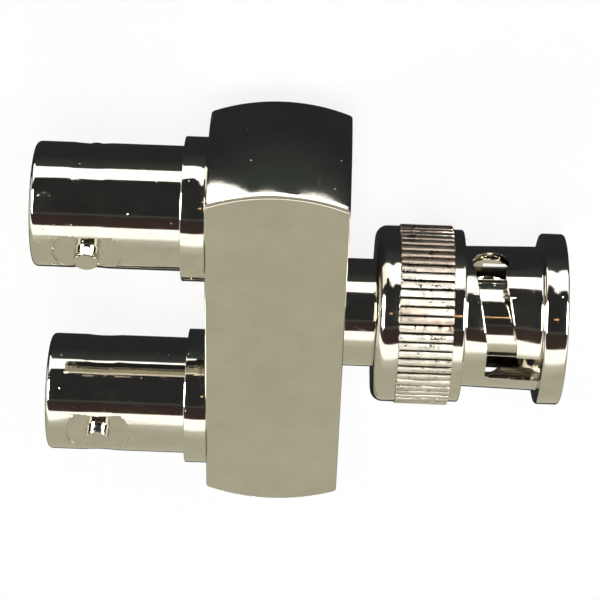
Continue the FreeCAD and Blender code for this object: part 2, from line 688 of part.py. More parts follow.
def make_nut():
    """Coupling nut: knurled grip, slotted barrel with two bayonet cam slots, front flange."""
    body = turned("nut_blank", [
        ("places.nut_back", "sizes.neck_diameter / 2 + sizes.running_gap"),
        *rounded("places.nut_back", "sizes.nut_shoulder / 2", "sizes.shoulder_round", 4),
        ("places.knurl_back", "sizes.nut_shoulder / 2"),
        ("places.knurl_back", "sizes.knurl_diameter / 2"),
        ("places.knurl_front", "sizes.knurl_diameter / 2"),
        ("places.knurl_front", "sizes.collar_diameter / 2"),
        ("places.collar_front - sizes.nut_edge", "sizes.collar_diameter / 2"),
        ("places.collar_front", "sizes.collar_diameter / 2 - sizes.nut_edge"),
        ("places.collar_front", "sizes.barrel_rear / 2"),
        ("places.front_flange_back", "sizes.barrel_front / 2"),
        ("places.front_flange_back", "sizes.front_flange / 2 - sizes.nut_edge"),
        ("places.front_flange_back + sizes.nut_edge", "sizes.front_flange / 2"),
        ("places.nut_front - sizes.nut_edge", "sizes.front_flange / 2"),
        ("places.nut_front", "sizes.front_flange / 2 - sizes.nut_edge"),
        ("places.nut_front", "sizes.nut_bore / 2 + sizes.nut_edge"),
        ("places.nut_front - sizes.nut_edge", "sizes.nut_bore / 2"),
        ("places.lip_front", "sizes.nut_bore / 2"),
        ("places.lip_front", "sizes.neck_diameter / 2 + sizes.running_gap"),
    ])
    channel = add_sketch(body, "entry_channel_box", "XY_Plane")
    side = "sizes.entry_width / 2"
    draw_box(channel, "places.entry_end", "places.nut_front + sizes.nut_edge", f"-{side}", side)
    pocket(body, "entry_channels", channel, "2 * places.channel_radius", both_sides=True)
    window = add_sketch(body, "entry_window_box", "XY_Plane")
    draw_box(window, "places.entry_end", "places.front_flange_back", f"-{side}", side)
    pocket(body, "entry_windows", window, "sizes.knurl_diameter", both_sides=True)
    groove = add_sketch(body, "knurl_groove_box", "YZ_Plane", "places.knurl_back")
    floor = "sizes.knurl_diameter / 2 - sizes.knurl_depth"
    over = "sizes.knurl_diameter / 2 + sizes.knurl_depth"
    draw_outline(groove, [
        ("-sizes.knurl_groove / 4", floor),
        ("sizes.knurl_groove / 4", floor),
        ("sizes.knurl_groove / 4 * 3", over),
        ("-sizes.knurl_groove / 4 * 3", over),
    ])
    first = pocket(body, "knurl_groove", groove, "sizes.knurl_width", forward=True)
    polar_pattern(body, "knurl_pattern", first, "sizes.knurl_teeth")
    tools = []
    for number, half_turn in enumerate((0, 180), 1):
        slot = doc.addObject("Part::Feature", f"cam_slot_{number}")
        slot.Shape = cam_slot_cutter()
        slot.Placement = FreeCAD.Placement(FreeCAD.Vector(0, 0, 0), FreeCAD.Rotation(X_AXIS, half_turn))
        tools.append(slot)
        outward = FreeCAD.Rotation(X_AXIS, half_turn - sizes.detent_turn)
        detent = rod(f"detent_{number}", "sizes.detent_diameter", "sizes.nut_bore / 2 + sizes.nut_lip",
                     ("places.cam_line", "0", "0"), outward)
        tools.append(detent)
    return cut_from("coupling_nut", body, tools)


NODES = ["body_block", "cross_bore_plug", "centre_bus", "bus_insulator"]
for jack_name, jack_row in JACKS:
    NODES += [f"{jack_name}_{piece}" for piece in ("shell", "insulator", "contact", "rear_insulator")]
NODES += ["plug_body", "plug_outer_contact", "plug_insulator", "plug_pin", "plug_rear_insulator"]
NODES += ["plug_gasket"]
NODES += ["thrust_washer", "wave_washer", "coupling_nut"]

make_block()
make_cross_plug()
make_bus()
for jack_name, jack_row in JACKS:
    make_jack_shell(jack_name, jack_row)
    make_jack_insides(jack_name, jack_row)
make_plug()
make_washers()
make_nut()
doc.recompute()

for item in doc.Objects:
    if "Invalid" in item.State or "Error" in item.State:
        raise RuntimeError(f"{item.Name} did not build: {item.State}")
pieces = {label: doc.getObjectsByLabel(label)[0] for label in NODES}
for label, piece in pieces.items():
    if piece.Shape.isNull() or not piece.Shape.isValid() or len(piece.Shape.Solids) != 1:
        raise RuntimeError(f"{label} is not one valid solid")

os.makedirs("parts", exist_ok=True)
for label, piece in pieces.items():
    piece.Shape.exportStep(f"parts/{label}.step")
    box = piece.Shape.BoundBox
    print(f"{label:26s} {piece.Shape.Volume:9.3f}  x {box.XMin:7.2f} {box.XMax:7.2f}"
          f"  y {box.YMin:7.2f} {box.YMax:7.2f}  z {box.ZMin:6.2f} {box.ZMax:6.2f}")
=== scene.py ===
import math
import bpy
from mathutils import Matrix, Vector


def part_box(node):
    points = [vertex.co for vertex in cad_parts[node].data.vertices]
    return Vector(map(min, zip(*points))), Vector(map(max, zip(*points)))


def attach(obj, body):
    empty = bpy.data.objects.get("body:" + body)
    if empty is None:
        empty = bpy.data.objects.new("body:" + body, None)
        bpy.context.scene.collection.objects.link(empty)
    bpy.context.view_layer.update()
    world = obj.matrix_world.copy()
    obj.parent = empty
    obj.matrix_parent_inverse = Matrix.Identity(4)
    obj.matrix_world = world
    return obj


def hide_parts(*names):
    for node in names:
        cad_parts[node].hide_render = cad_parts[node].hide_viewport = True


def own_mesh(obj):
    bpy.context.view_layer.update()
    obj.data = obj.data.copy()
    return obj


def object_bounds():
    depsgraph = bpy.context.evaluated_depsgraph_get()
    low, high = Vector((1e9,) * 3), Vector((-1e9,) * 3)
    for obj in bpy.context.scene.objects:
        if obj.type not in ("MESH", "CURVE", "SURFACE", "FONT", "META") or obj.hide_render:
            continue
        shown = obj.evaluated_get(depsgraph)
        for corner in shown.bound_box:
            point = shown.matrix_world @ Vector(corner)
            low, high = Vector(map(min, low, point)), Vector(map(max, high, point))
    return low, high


# Coaxial splitter: bright nickel over brass, white insulators, gilt centre contacts.
# X runs along the connector axes towards the plug, Y towards the upper jack, Z is up.

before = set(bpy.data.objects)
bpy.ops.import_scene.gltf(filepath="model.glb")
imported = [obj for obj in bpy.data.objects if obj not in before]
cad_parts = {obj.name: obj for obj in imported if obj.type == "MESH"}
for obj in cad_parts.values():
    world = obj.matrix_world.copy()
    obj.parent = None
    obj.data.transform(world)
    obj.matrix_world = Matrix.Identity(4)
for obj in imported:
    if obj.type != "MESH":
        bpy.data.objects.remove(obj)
cad_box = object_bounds()

MM = 0.001
MERGE = 0.001 * MM
SEAT_GAP = 0.01 * MM
ROUND_STEPS = 256

# Sizes of the block
BLOCK_LOW, BLOCK_HIGH = (Vector(corner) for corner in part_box("body_block"))
BLOCK_MIDDLE = (BLOCK_LOW.x + BLOCK_HIGH.x) / 2
DOME_APEX = BLOCK_HIGH.y
DOME_RADIUS = 13.3 * MM
BLOCK_EDGE = 0.2 * MM
CROSS_PLUG_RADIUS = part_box("cross_bore_plug")[1][2]

# Sizes of a jack
JACK_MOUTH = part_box("upper_jack_shell")[0][0]
SPIGOT_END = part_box("upper_jack_shell")[1][0]
JACK_RADIUS = 4.8 * MM
JACK_BORE = 4.05 * MM
JACK_MOUTH_ROUND = 0.4 * MM
JACK_MOUTH_BEVEL = 0.25 * MM
JACK_FLANGE_RADIUS = 5.55 * MM
JACK_FLANGE_WIDTH = 1.85 * MM
JACK_FLOOR = JACK_MOUTH + 8.5 * MM
JACK_STEP = JACK_FLOOR + 0.6 * MM
SPIGOT_RADIUS = 4.4 * MM
STUD_LINE = JACK_MOUTH + 4.3 * MM
STUD_RADIUS = 0.975 * MM
STUD_END = 5.5 * MM
STUD_SEAT_RADIUS = 2.6 * MM
STUD_SEAT_LEVEL = 4.45 * MM
WAIST_WIDTH = 2.8 * MM
WAIST_DEPTH = 0.075 * MM
NOSE_RADIUS = 2.36 * MM
NOSE_FLANGE_RADIUS = 3.5 * MM
CONTACT_TAIL_RADIUS = 0.6 * MM
STUD_TURNS = {"upper_jack": math.radians(8.5), "lower_jack": math.radians(-3.0)}

# Sizes of the plug and its nut
NUT_LOW, NUT_HIGH = (Vector(corner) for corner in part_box("coupling_nut"))
NUT_BACK, NUT_FRONT = NUT_LOW.x, NUT_HIGH.x
NUT_REAR_BORE = 4.35 * MM
NUT_BORE = 4.95 * MM
NECK_RADIUS = 4.3 * MM
NECK_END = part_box("plug_body")[0][0]
PLUG_FLANGE_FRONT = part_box("plug_body")[1][0]
SHOULDER_RADIUS = 7.02 * MM
SHOULDER_ROUND = 0.95 * MM
KNURL_RADIUS = 7.17 * MM
# How far each spot across a tooth lies below the knurl's radius, in millimetres, from its groove on
TOOTH_DROPS = (0.25, 0.06, 0.018, 0.004, 0.0, 0.004, 0.018, 0.06)
KNURL_TEETH = 64
KNURL_BACK = NUT_BACK + 1.9 * MM
KNURL_FRONT = KNURL_BACK + 4.2 * MM
COLLAR_RADIUS = 6.87 * MM
COLLAR_FRONT = KNURL_FRONT + 0.9 * MM
BARREL_REAR = 5.6 * MM
BARREL_FRONT = 5.75 * MM
RIM_RADIUS = 6.81 * MM
RIM_BACK = NUT_FRONT - 1.9 * MM
ENTRY_WIDTH = 2.45 * MM
ENTRY_END = NUT_FRONT - 6.15 * MM
CHANNEL_RADIUS = 5.62 * MM
CAM_HALF = 1.15 * MM
CAM_START = ENTRY_END + CAM_HALF
CAM_LINE = CAM_START - 1.0 * MM
CAM_LEAD = math.radians(22)
CAM_TURN = math.radians(80)
DETENT_TURN = math.radians(95)
DETENT_RADIUS = 1.4 * MM
# The tools for the slots and detents reach from inside the nut's bore to outside its barrel.
SLOT_TOOL_INNER = 4.3 * MM
SLOT_TOOL_OUTER = 7.5 * MM

# The floor, and the light tent that the metal reflects. Angles round the tent are in degrees
# from straight up towards the upper jack, and places along it are X in metres.
FLOOR_LEVEL = cad_box[0][2]
FLOOR_GLOW = 0.86
TENT_RADIUS = 0.45
TENT_LENGTH = 1.0
TENT_GLOW = 2.0
TENT_BANDS = (
    (-112.5, (0.014, 0.0145, 0.0165)),
    (-111.5, (0.27, 0.265, 0.21)),
    (-34, (0.27, 0.265, 0.21)),
    (-19, (0.36, 0.355, 0.30)),
    (-13, (0.85, 0.85, 0.82)),
    (4.5, (0.85, 0.85, 0.82)),
    (5.5, (0.032, 0.019, 0.016)),
    (25, (0.020, 0.016, 0.015)),
    (27.5, (0.045, 0.045, 0.040)),
    (30, (0.014, 0.0145, 0.015)),
    (100, (0.014, 0.0145, 0.015)),
    (114, (0.027, 0.033, 0.030)),
    (140, (0.014, 0.0145, 0.0165)),
)
# Place along X: upper and lower edge of the high box, and its brightness.
HIGH_BOX = (
    (-0.60, 142, 88, 0.1),
    (-0.50, 139, 88, 0.4),
    (-0.44, 138.5, 88, 1.0),
    (-0.27, 125.5, 90, 1.0),
    (-0.145, 114.5, 92, 1.0),
    (-0.037, 113.5, 93, 1.0),
    (0.004, 112.5, 88.5, 1.0),
    (0.015, 112, 88, 1.0),
    (0.036, 110, 79, 1.0),
    (0.045, 110, 84.5, 1.0),
    (0.062, 110, 79, 1.0),
    (0.08, 113.5, 84, 1.0),
    (0.14, 116.5, 86, 1.0),
    (0.31, 119.8, 86, 1.0),
    (0.45, 126, 86, 1.0),
    (0.50, 126, 86, 0.1),
)
HIGH_BOX_GLOW = 2.2
HIGH_BOX_BLUR = 0.002
# Middle and half width of a box, along X and round it
END_BOX_ALONG = (0.37, 0.1)
END_BOX_ROUND = (48, 22)
END_BOX_GLOW = 60.0
WARM_LINE_ALONG = (0.046, 0.02)
WARM_LINE_ROUND = (45.5, 0.8)

# The camera that was fitted to the photograph's outline
CAMERA_LIFT = math.radians(45.8)
CAMERA_SWING = math.radians(0.28)
CAMERA_ROLL = math.radians(1.9)
CAMERA_DISTANCE = 182.7 * MM
CAMERA_ASIDE = 0.72 * MM
CAMERA_ABOVE = 0.79 * MM
BLOCK_IN_VIEW = -1.14 * MM
LENS = 137.2
SENSOR_WIDTH = 36


def deselect():
    if bpy.context.mode != "OBJECT":
        bpy.ops.object.mode_set(mode="OBJECT")
    bpy.ops.object.select_all(action="DESELECT")


def focus(piece):
    deselect()
    piece.select_set(True)
    bpy.context.view_layer.objects.active = piece


def edit(piece):
    focus(piece)
    bpy.ops.object.mode_set(mode="EDIT")


def edit_faces(piece, wanted):
    """Open the mesh for editing with only the wanted faces selected."""
    edit(piece)
    bpy.ops.mesh.select_mode(type="FACE")
    bpy.ops.mesh.select_all(action="DESELECT")
    bpy.ops.object.mode_set(mode="OBJECT")
    for face in piece.data.polygons:
        face.select = wanted(face)
    bpy.ops.object.mode_set(mode="EDIT")


def settle(piece):
    """Put the object at the origin, with its place in its mesh."""
    focus(piece)
    bpy.ops.object.transform_apply(location=True, rotation=True, scale=True)
    return piece


def apply_modifier(piece, modifier):
    focus(piece)
    bpy.ops.object.modifier_apply(modifier=modifier.name)


def arc(centre, radius, start, end, steps):
    """Points of an arc in an outline, its angles in degrees from +X towards the rim."""
    points = []
    for step in range(steps + 1):
        turn = math.radians(start + (end - start) * step / steps)
        points.append((centre[0] + radius * math.cos(turn), centre[1] + radius * math.sin(turn)))
    return points


def lathe(name, outline, row=0.0, steps=ROUND_STEPS):
    """A closed piece turned about the line y = row from an outline of (x, radius) points."""
    deselect()
    bpy.ops.mesh.primitive_plane_add(size=MM, location=(0, 0, 0))
    piece = bpy.context.active_object
    piece.name = name
    bpy.ops.object.mode_set(mode="EDIT")
    bpy.ops.mesh.select_mode(type="VERT")
    bpy.ops.mesh.select_all(action="SELECT")
    bpy.ops.mesh.merge(type="CENTER")
    start = outline[0]
    bpy.ops.transform.translate(value=(start[0], row, start[1]))
    closed = outline[0][1] > 0 or outline[-1][1] > 0
    for last, point in zip(outline, outline[1:] + outline[:1] * closed):
        step = (point[0] - last[0], 0, point[1] - last[1])
        bpy.ops.mesh.extrude_vertices_move(TRANSFORM_OT_translate={"value": step})
    bpy.ops.mesh.select_all(action="SELECT")
    bpy.ops.mesh.remove_doubles(threshold=MERGE)
    bpy.ops.mesh.spin(steps=steps, angle=2 * math.pi, center=(0, row, 0), axis=(1, 0, 0))
    bpy.ops.mesh.select_all(action="SELECT")
    bpy.ops.mesh.remove_doubles(threshold=MERGE)
    bpy.ops.mesh.normals_make_consistent(inside=False)
    bpy.ops.object.mode_set(mode="OBJECT")
    return piece


def rod(name, radius, start, end, steps=64):
    """A plain round tool between two points."""
    deselect()
    start, end = Vector(start), Vector(end)
    way = end - start
    turn = way.to_track_quat("Z", "Y").to_euler()
    middle = (start + end) / 2
    bpy.ops.mesh.primitive_cylinder_add(
        vertices=steps, radius=radius, depth=way.length, location=middle, rotation=turn)
    piece = bpy.context.active_object
    piece.name = name
    return settle(piece)


def bar(name, low, high):
    """A plain square tool between two corners."""
    deselect()
    low, high = Vector(low), Vector(high)
    bpy.ops.mesh.primitive_cube_add(size=1, location=(low + high) / 2)
    piece = bpy.context.active_object
    piece.name = name
    piece.scale = high - low
    return settle(piece)


def combine(piece, tool, operation):
    """Cut a tool from a piece or join it on, and remove the tool."""
    modifier = piece.modifiers.new(operation.lower(), "BOOLEAN")
    modifier.operation = operation
    modifier.solver = "EXACT"
    modifier.object = tool
    apply_modifier(piece, modifier)
    bpy.data.objects.remove(tool)


def soften(piece, width, segments=3, angle=30, clamp=True):
    """Round the sharp edges."""
    modifier = piece.modifiers.new("edges", "BEVEL")
    modifier.width = width
    modifier.segments = segments
    modifier.limit_method = "ANGLE"
    modifier.angle_limit = math.radians(angle)
    modifier.use_clamp_overlap = clamp
    modifier.miter_outer = "MITER_ARC"
    apply_modifier(piece, modifier)


def finish_piece(piece, node, body, material, smooth=35):
    """Smooth shading, finish, and the CAD node that the piece stands for."""
    focus(piece)
    bpy.ops.object.shade_smooth_by_angle(angle=math.radians(smooth))
    modifier = piece.modifiers.new("shading", "WEIGHTED_NORMAL")
    modifier.keep_sharp = True
    apply_modifier(piece, modifier)
    if piece.data.materials:
        piece.data.materials[0] = material
    else:
        piece.data.materials.append(material)
    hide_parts(node)
    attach(piece, body)


# Shader nodes

def add(tree, kind, links=None, **settings):
    """A node with its settings and its inputs, which are sockets to link or plain values."""
    node = tree.nodes.new(kind)
    for name, content in settings.items():
        setattr(node, name, content)
    for name, source in (links or {}).items():
        if isinstance(source, bpy.types.NodeSocket):
            tree.links.new(source, node.inputs[name])
        else:
            node.inputs[name].default_value = source
    return node


def connect(tree, sockets, sources):
    for name, source in sources.items():
        tree.links.new(source, sockets[name])


def calc(tree, operation, *values, clamp=False):
    """Result of one sum on sockets and plain values."""
    return add(tree, "ShaderNodeMath", dict(enumerate(values)),
               operation=operation, use_clamp=clamp).outputs[0]


def remap(tree, value, start, end, low=0.0, high=1.0):
    """Value that runs from low to high as another runs from start to end."""
    return add(tree, "ShaderNodeMapRange", {
        "Value": value, "From Min": start, "From Max": end, "To Min": low, "To Max": high}).outputs[0]


def scaled(tree, vector, factors):
    return add(tree, "ShaderNodeVectorMath", {0: vector, 1: factors}, operation="MULTIPLY").outputs[0]


def noise(tree, vector, scale, detail, roughness=0.5):
    return add(tree, "ShaderNodeTexNoise", {
        "Vector": vector, "Scale": scale, "Detail": detail, "Roughness": roughness}).outputs["Fac"]


def noise_along(tree, value, scale=1.0):
    """Noise that changes with one value alone."""
    return add(tree, "ShaderNodeTexNoise", {"W": value, "Scale": scale, "Detail": 2.0},
               noise_dimensions="1D").outputs["Fac"]


def blend(tree, share, first, second):
    """Colour between two colours."""
    return add(tree, "ShaderNodeMix", {0: share, 6: first, 7: second}, data_type="RGBA").outputs[2]


def ramp(tree, fac, stops):
    """Colour that runs through stops, each a place from 0 to 1 and a colour."""
    node = add(tree, "ShaderNodeValToRGB", {"Fac": fac})
    elements = node.color_ramp.elements
    elements[0].color = (*stops[0][1], 1)
    elements[1].color = (*stops[-1][1], 1)
    for place, colour in stops:
        elements.new(place).color = (*colour, 1)
    return node.outputs["Color"]


def tinted(tree, clouds, low, high):
    """Colour that runs from low to high with the plating's clouds."""
    return ramp(tree, clouds, ((0.3, low), (0.7, high)))


def bump(tree, height, distance, under=None, strength=1.0, invert=False):
    """Normal of a surface with a height on it, and with what is under that."""
    links = {"Height": height, "Distance": distance, "Strength": strength}
    if under is not None:
        links["Normal"] = under
    return add(tree, "ShaderNodeBump", links, invert=invert).outputs["Normal"]


# Shader groups

def new_group(name, vectors, values, results):
    """A node group with vector inputs, inputs with a plain value, and plain results."""
    group = bpy.data.node_groups.new(name, "ShaderNodeTree")
    for label in vectors:
        group.interface.new_socket(name=label, in_out="INPUT", socket_type="NodeSocketVector")
    for label, default in values.items():
        socket = group.interface.new_socket(name=label, in_out="INPUT", socket_type="NodeSocketFloat")
        socket.default_value = default
    for label in results:
        group.interface.new_socket(name=label, in_out="OUTPUT", socket_type="NodeSocketFloat")
    return group, group.nodes.new("NodeGroupInput").outputs, group.nodes.new("NodeGroupOutput").inputs


def use_group(tree, group, links):
    return add(tree, "ShaderNodeGroup", links, node_tree=group).outputs


def make_plating_group():
    """Cloudiness, grain and small pits of bright plating."""
    group, given, results = new_group(
        "plating", ("Vector",), {"Cloud Scale": 300.0, "Pit Share": 0.12}, ("Clouds", "Grain", "Pits"))
    cells = add(group, "ShaderNodeTexVoronoi", {"Vector": given["Vector"], "Scale": 2400.0}).outputs
    near = remap(group, cells["Distance"], 0.0, 0.16, 1.0, 0.0)
    draw = add(group, "ShaderNodeSeparateColor", {"Color": cells["Color"]}).outputs[0]
    chosen = calc(group, "LESS_THAN", draw, given["Pit Share"])
    connect(group, results, {
        "Clouds": noise(group, given["Vector"], given["Cloud Scale"], 5.0, 0.62),
        "Grain": noise(group, given["Vector"], 5200.0, 3.0),
        "Pits": calc(group, "MULTIPLY", near, chosen)})
    return group


def make_turning_group():
    """Rings that a turning tool leaves round the X axis, from fine to coarse."""
    group, given, results = new_group("turning", ("Vector",), {"Rings": 40000.0}, ("Height",))
    along = add(group, "ShaderNodeSeparateXYZ", {"Vector": given["Vector"]}).outputs["X"]
    rings = noise_along(group, calc(group, "MULTIPLY", along, given["Rings"]))
    connect(group, results, {"Height": rings})
    return group


def make_scratch_group():
    """Thin handling scratches in one direction."""
    group, given, results = new_group(
        "scratches", ("Vector",), {"Turn": 0.0, "Share": 0.3}, ("Marks",))
    swing = add(group, "ShaderNodeVectorRotate", {
        "Vector": given["Vector"], "Axis": (0.2, 0.1, 1.0), "Angle": given["Turn"]},
        rotation_type="AXIS_ANGLE").outputs[0]
    lines = noise(group, scaled(group, swing, (60.0, 2600.0, 900.0)), 1.0, 1.0)
    sharp = remap(group, lines, 0.70, 0.78)
    connect(group, results, {"Marks": calc(group, "MULTIPLY", sharp, given["Share"])})
    return group


def make_crown_group():
    """Height that lets the domes look flatter towards their front and rear edges."""
    group, given, results = new_group("crown", ("Vector", "Facing"), {}, ("Height",))
    level = add(group, "ShaderNodeSeparateXYZ", {"Vector": given["Vector"]}).outputs["Z"]
    rise = calc(group, "MULTIPLY", calc(group, "MULTIPLY", level, level), 21.0)
    facing = add(group, "ShaderNodeSeparateXYZ", {"Vector": given["Facing"]}).outputs["Y"]
    dome = remap(group, calc(group, "ABSOLUTE", facing), 0.5, 0.8)
    connect(group, results, {"Height": calc(group, "MULTIPLY", rise, dome)})
    return group


PLATING = make_plating_group()
CROWN = make_crown_group()
TURNING = make_turning_group()
SCRATCHES = make_scratch_group()


# Materials

def new_material(name, metallic=1.0, specular=0.5):
    """A material, its tree, the inputs of its shader, and the coordinates of its object."""
    material = bpy.data.materials.new(name)
    material.use_nodes = True
    tree = material.node_tree
    surface = tree.nodes["Principled BSDF"].inputs
    surface["Metallic"].default_value = metallic
    surface["Specular IOR Level"].default_value = specular
    return material, tree, surface, tree.nodes.new("ShaderNodeTexCoord").outputs


def make_nickel(name, cloud_scale, ring_height, wave_height, roughness, pit_share, crown_height=0.0):
    """Bright nickel plate with clouds, pits, scratches, and turning rings where it was turned."""
    material, tree, surface, place = new_material(name)
    plate = use_group(tree, PLATING, {
        "Vector": place["Object"], "Cloud Scale": cloud_scale, "Pit Share": pit_share})
    turned = use_group(tree, TURNING, {"Vector": place["Object"], "Rings": 9000.0})
    first, second = (
        use_group(tree, SCRATCHES, {"Vector": place["Object"], "Turn": turn, "Share": share})["Marks"]
        for turn, share in ((0.4, 0.5), (2.1, 0.4)))
    cloudy = remap(tree, plate["Clouds"], 0.3, 0.7, roughness * 0.7, roughness * 1.5)
    scratched = calc(tree, "MULTIPLY_ADD", calc(tree, "MAXIMUM", first, second), 0.12, cloudy)
    crown = None
    if crown_height:
        domes = use_group(tree, CROWN, {"Vector": place["Object"], "Facing": place["Normal"]})
        crown = bump(tree, domes["Height"], crown_height)
    waves = bump(tree, plate["Clouds"], wave_height, crown)
    rings = bump(tree, turned["Height"], ring_height, waves)
    connect(tree, surface, {
        "Base Color": tinted(tree, plate["Clouds"], (0.64, 0.615, 0.535), (0.73, 0.685, 0.605)),
        "Roughness": calc(tree, "MULTIPLY_ADD", plate["Pits"], 0.3, scratched),
        "Normal": bump(tree, plate["Pits"], 0.02 * MM, rings, strength=0.8, invert=True)})
    return material


def make_knurl_nickel():
    """Nickel of the knurl: dull brownish rows here and there, and painted shade at the bottom of its grooves.
    """
    material = make_nickel(
        "nickel_knurl", cloud_scale=1500.0, ring_height=0.02 * MM, wave_height=0.022 * MM,
        roughness=0.3, pit_share=0.1)
    tree = material.node_tree
    base = tree.nodes["Principled BSDF"].inputs["Base Color"]
    place = tree.nodes["Texture Coordinate"].outputs["Object"]
    around = add(tree, "ShaderNodeVectorMath", {0: place, 1: (0.12, 1.0, 1.0), 2: (0.0, 0.004, 0.011)},
                 operation="MULTIPLY_ADD").outputs[0]
    # Rows here and there blend towards brown, following noise alone.
    dull = remap(tree, noise(tree, around, 420.0, 1.0), 0.53, 0.62, 0.0, 0.8)
    brownish_rows = blend(tree, dull, base.links[0].from_socket, (0.38, 0.29, 0.23, 1))
    across = scaled(tree, place, (0.0, 1.0, 1.0))
    radius = add(tree, "ShaderNodeVectorMath", {0: across}, operation="LENGTH").outputs["Value"]
    # Painted shade: the bottoms of the grooves are coloured near black, standing in for the shade between the
    # teeth.
    low = remap(tree, radius, KNURL_RADIUS - 0.12 * MM, KNURL_RADIUS - 0.06 * MM, 1.0, 0.0)
    tree.links.new(blend(tree, low, brownish_rows, (0.045, 0.038, 0.030, 1)), base)
    return material


def make_turned(name, colours, roughness, cloud_scale=300.0, rings=40000.0, ring_height=0.006 * MM,
                metallic=1.0, specular=0.5, follows="Clouds"):
    """Turned stock with tool rings. Its roughness follows its clouds or its grain."""
    material, tree, surface, place = new_material(name, metallic, specular)
    plate = use_group(tree, PLATING, {"Vector": place["Object"], "Cloud Scale": cloud_scale})
    turned = use_group(tree, TURNING, {"Vector": place["Object"], "Rings": rings})
    connect(tree, surface, {
        "Base Color": tinted(tree, plate["Clouds"], *colours),
        "Roughness": remap(tree, plate[follows], 0.0, 1.0, *roughness),
        "Normal": bump(tree, turned["Height"], ring_height)})
    return material


def make_insulator():
    """White turned fluoropolymer, waxy."""
    material = make_turned(
        "white_insulator", ((0.80, 0.79, 0.75), (0.87, 0.86, 0.83)), (0.38, 0.55), cloud_scale=500.0,
        rings=6000.0, ring_height=0.008 * MM, metallic=0.0, specular=0.4, follows="Grain")
    surface = material.node_tree.nodes["Principled BSDF"].inputs
    surface["Subsurface Weight"].default_value = 0.15
    surface["Subsurface Radius"].default_value = (0.6 * MM, 0.6 * MM, 0.5 * MM)
    return material


def make_silicone():
    """Soft red gasket."""
    material, tree, surface, place = new_material("silicone_gasket", 0.0, 0.35)
    plate = use_group(tree, PLATING, {"Vector": place["Object"], "Cloud Scale": 700.0})
    connect(tree, surface, {
        "Base Color": tinted(tree, plate["Clouds"], (0.30, 0.07, 0.04), (0.40, 0.10, 0.06)),
        "Roughness": remap(tree, plate["Grain"], 0.0, 1.0, 0.5, 0.7),
        "Normal": bump(tree, plate["Grain"], 0.01 * MM)})
    return material


BLOCK_NICKEL = make_nickel(
    "nickel_block", cloud_scale=260.0, ring_height=0.0, wave_height=0.010 * MM,
    roughness=0.07, pit_share=0.05, crown_height=1.0)
BARREL_NICKEL = make_nickel(
    "nickel_barrel", cloud_scale=700.0, ring_height=0.0014 * MM, wave_height=0.002 * MM,
    roughness=0.05, pit_share=0.12)
NUT_NICKEL = make_nickel(
    "nickel_nut", cloud_scale=700.0, ring_height=0.003 * MM, wave_height=0.002 * MM,
    roughness=0.06, pit_share=0.1)
SLEEVE_NICKEL = make_nickel(
    "nickel_sleeve", cloud_scale=700.0, ring_height=0.002 * MM, wave_height=0.002 * MM,
    roughness=0.06, pit_share=0.12)
KNURL_NICKEL = make_knurl_nickel()
GILT = make_turned(
    "gilt_contact", ((0.90, 0.62, 0.25), (0.96, 0.72, 0.34)), (0.12, 0.3),
    cloud_scale=900.0, rings=14000.0, ring_height=0.004 * MM, follows="Grain")
SPRING_STEEL = make_turned("spring_steel", ((0.50, 0.49, 0.47), (0.58, 0.57, 0.55)), (0.21, 0.39))
BRASS = make_turned("turned_brass", ((0.72, 0.52, 0.22), (0.82, 0.62, 0.30)), (0.175, 0.325))
WHITE = make_insulator()
SILICONE = make_silicone()


# Pieces

def dome_level(x, z):
    """Height of the dome above the XZ plane."""
    centre = DOME_APEX - DOME_RADIUS
    return centre + math.sqrt(DOME_RADIUS ** 2 - (x - BLOCK_MIDDLE) ** 2 - z ** 2)


def make_block():
    """Square bar with domed ends, rounded edges, and the seat of its cross plug."""
    low = Vector((BLOCK_LOW.x, -DOME_APEX, BLOCK_LOW.z))
    high = Vector((BLOCK_HIGH.x, DOME_APEX, BLOCK_HIGH.z))
    block = bar("domed_block", low, high)
    edit_faces(block, lambda face: abs(face.normal.y) > 0.9)
    bpy.ops.mesh.subdivide(number_cuts=24)
    bpy.ops.object.mode_set(mode="OBJECT")
    for vertex in block.data.vertices:
        side = math.copysign(1, vertex.co.y)
        vertex.co.y = side * dome_level(vertex.co.x, vertex.co.z)
    soften(block, BLOCK_EDGE, segments=4, angle=20)
    seat = rod("seat_tool", CROSS_PLUG_RADIUS + 2 * SEAT_GAP,
               (BLOCK_MIDDLE, -DOME_APEX - MM, 0), (BLOCK_MIDDLE, -DOME_APEX + MM, 0), 128)
    combine(block, seat, "DIFFERENCE")
    finish_piece(block, "body_block", "adapter", BLOCK_NICKEL)


def make_cross_plug():
    """Pressed plug, its crown turned with the lower dome."""
    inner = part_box("cross_bore_plug")[1][1]
    steps = 8
    crown = []
    for step in range(steps + 1):
        radius = CROSS_PLUG_RADIUS * (1 - step / steps)
        crown.append((dome_level(BLOCK_MIDDLE + radius, 0), radius))
    plug = lathe("cross_plug", [(-inner, 0), (-inner, CROSS_PLUG_RADIUS)] + crown, steps=96)
    soften(plug, 0.05 * MM)
    plug.rotation_euler = (0, 0, -math.pi / 2)
    plug.location = (BLOCK_MIDDLE, 0, 0)
    settle(plug)
    finish_piece(plug, "cross_bore_plug", "adapter", BLOCK_NICKEL)


def jack_waist():
    """Outline of the shallow waist where the barrel carries its studs."""
    half = WAIST_WIDTH / 2
    radius = (half ** 2 + WAIST_DEPTH ** 2) / (2 * WAIST_DEPTH)
    reach = math.degrees(math.asin(half / radius))
    return arc((STUD_LINE, JACK_RADIUS - WAIST_DEPTH + radius), radius, 270 - reach, 270 + reach, 10)


